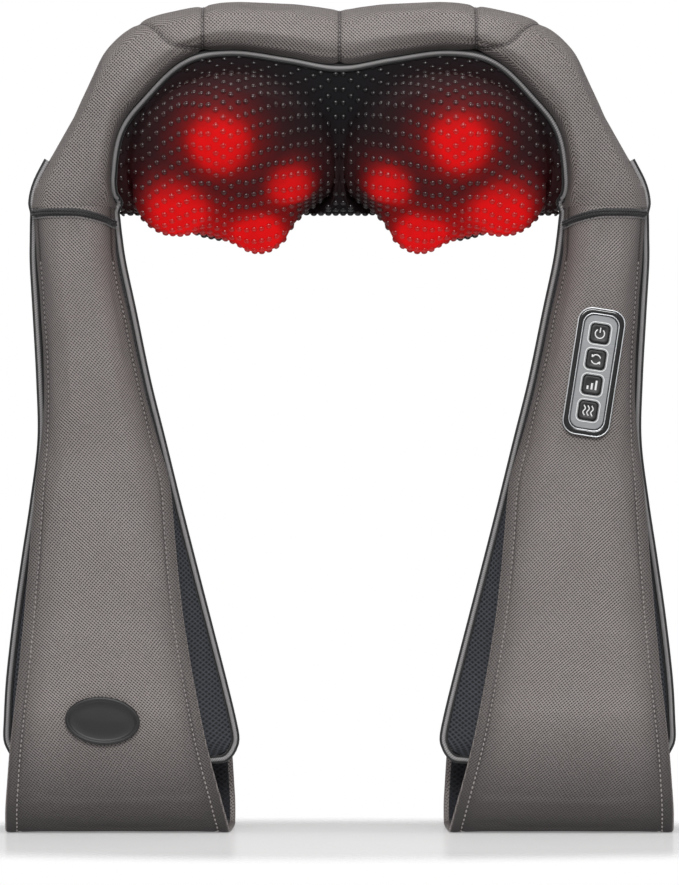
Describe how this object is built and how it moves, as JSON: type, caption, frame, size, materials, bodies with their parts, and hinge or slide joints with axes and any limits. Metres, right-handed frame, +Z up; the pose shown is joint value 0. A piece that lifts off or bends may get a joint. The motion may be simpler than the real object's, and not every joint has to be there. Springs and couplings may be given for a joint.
{
  "type": "shiatsu neck massager",
  "caption": "U-shaped padded neck and shoulder massager with two driven heads under a dotted stretch cover, soft arms ending in hand loops and a push-button panel.",
  "frame": {"origin": "centre of the bounding box in plan, at the flat undersides of the two hand loops", "axes": "+Z up, +X to the right seen from the front, -Y the front, which the massage heads face"},
  "size_m": [0.395, 0.132, 0.4871],
  "materials": {
    "leather": "taupe grey cross-hatch grain, satin",
    "mesh_fabric": "black stretch cover, matte, with raised dots",
    "lining": "black diamond air mesh, matte",
    "piping": "grey corded piping, satin",
    "trim": "black braid, matte",
    "foam": "open-cell foam, matte",
    "housing": "moulded, fine matte",
    "gear": "moulded acetal, satin",
    "node": "translucent red, smooth",
    "steel": "brushed",
    "brass": "sintered",
    "silver_plastic": "silver paint, fine satin",
    "black_plastic": "gloss black",
    "board": "green circuit board",
    "wire": "black cable jacket",
    "rubber": "moulded, matte"
  },
  "bodies": {
    "collar": {"collar_cover": "leather", "collar_foam": "foam", "massage_cover": "mesh_fabric", "neck_piping": "piping", "zipper_tape": "lining", "chassis_base": "housing", "gearbox_cover": "housing", "motor_can": "steel", "motor_end_cap": "black_plastic", "motor_strap": "steel", "output_bush_left": "brass", "output_bush_right": "brass", "shaft_bush_left": "brass", "shaft_bush_right": "brass", "heat_lamp_left": "node", "heat_lamp_right": "node", "collar_harness": "wire", "shoulder_flex_left": "foam", "shoulder_flex_right": "foam", "shoulder_trim_left": "trim", "shoulder_trim_right": "trim"},
    "zipper_slider": {"zipper_slider": "steel"},
    "zipper_pull": {"zipper_pull": "steel"},
    "motor_rotor": {"motor_shaft": "steel", "worm_left": "steel", "worm_right": "steel"},
    "head_left": {"worm_wheel_left": "gear", "output_shaft_left": "steel", "node_carrier_left": "black_plastic", "large_node_left_upper": "node", "large_node_left_outer": "node", "small_node_left_inner": "node", "small_node_left_lower": "node"},
    "head_right": {"worm_wheel_right": "gear", "output_shaft_right": "steel", "node_carrier_right": "black_plastic", "large_node_right_upper": "node", "large_node_right_outer": "node", "small_node_right_inner": "node", "small_node_right_lower": "node"},
    "arm_left": {"arm_pad_left": "lining", "hand_strap_left": "leather", "strap_lining_left": "lining", "arm_piping_left": "piping", "badge": "rubber"},
    "arm_right": {"arm_pad_right": "lining", "hand_strap_right": "leather", "strap_lining_right": "lining", "arm_piping_right": "piping", "panel_bezel": "black_plastic", "panel_face": "silver_plastic", "control_box": "black_plastic", "control_board": "board", "dc_inlet": "black_plastic", "arm_harness": "wire"},
    "button_power": {"button_power": "black_plastic"},
    "button_direction": {"button_direction": "black_plastic"},
    "button_speed": {"button_speed": "black_plastic"},
    "button_heat": {"button_heat": "black_plastic"}
  },
  "joints": [
    {"name": "arm_flex_left", "type": "hinge", "parent": "collar", "child": "arm_left", "pos_m": [-0.1535, -0.0063, 0.35], "axis": [-1, 0, 0], "range_deg": [-25, 40], "stiffness_Nm_per_rad": 3, "deforming": ["shoulder_flex_left"]},
    {"name": "arm_flex_right", "type": "hinge", "parent": "collar", "child": "arm_right", "pos_m": [0.1535, -0.0063, 0.35], "axis": [-1, 0, 0], "range_deg": [-25, 40], "stiffness_Nm_per_rad": 3, "deforming": ["shoulder_flex_right"]},
    {"name": "head_left_turn", "type": "hinge", "parent": "collar", "child": "head_left", "pos_m": [-0.063, -0.0203, 0.385], "axis": [0, -0.848, -0.5299], "continuous": true},
    {"name": "head_right_turn", "type": "hinge", "parent": "collar", "child": "head_right", "pos_m": [0.063, -0.0203, 0.385], "axis": [0, -0.848, -0.5299], "continuous": true},
    {"name": "motor_spin", "type": "hinge", "parent": "collar", "child": "motor_rotor", "pos_m": [0, 0.01087, 0.43419], "axis": [1, 0, 0], "continuous": true},
    {"name": "zipper_slide", "type": "slide", "parent": "collar", "child": "zipper_slider", "axis": [-1, 0, 0], "range_m": [0, 0.164]},
    {"name": "zipper_pull_flip", "type": "hinge", "parent": "zipper_slider", "child": "zipper_pull", "pos_m": [0.082, 0.0641, 0.3734], "axis": [0, 0, -1], "range_deg": [0, 165]},
    {"name": "power_press", "type": "slide", "parent": "arm_right", "child": "button_power", "axis": [0, 1, 0], "range_m": [0, 0.001], "stiffness_N_per_m": 900, "springref_m": -0.0006},
    {"name": "direction_press", "type": "slide", "parent": "arm_right", "child": "button_direction", "axis": [0, 1, 0], "range_m": [0, 0.001], "stiffness_N_per_m": 900, "springref_m": -0.0006},
    {"name": "speed_press", "type": "slide", "parent": "arm_right", "child": "button_speed", "axis": [0, 1, 0], "range_m": [0, 0.001], "stiffness_N_per_m": 900, "springref_m": -0.0006},
    {"name": "heat_press", "type": "slide", "parent": "arm_right", "child": "button_heat", "axis": [0, 1, 0], "range_m": [0, 0.001], "stiffness_N_per_m": 900, "springref_m": -0.0006}
  ],
  "couplings": [
    {"joint": "head_right_turn", "follows": "head_left_turn", "ratio": -1},
    {"joint": "motor_spin", "follows": "head_left_turn", "ratio": 28}
  ]
}
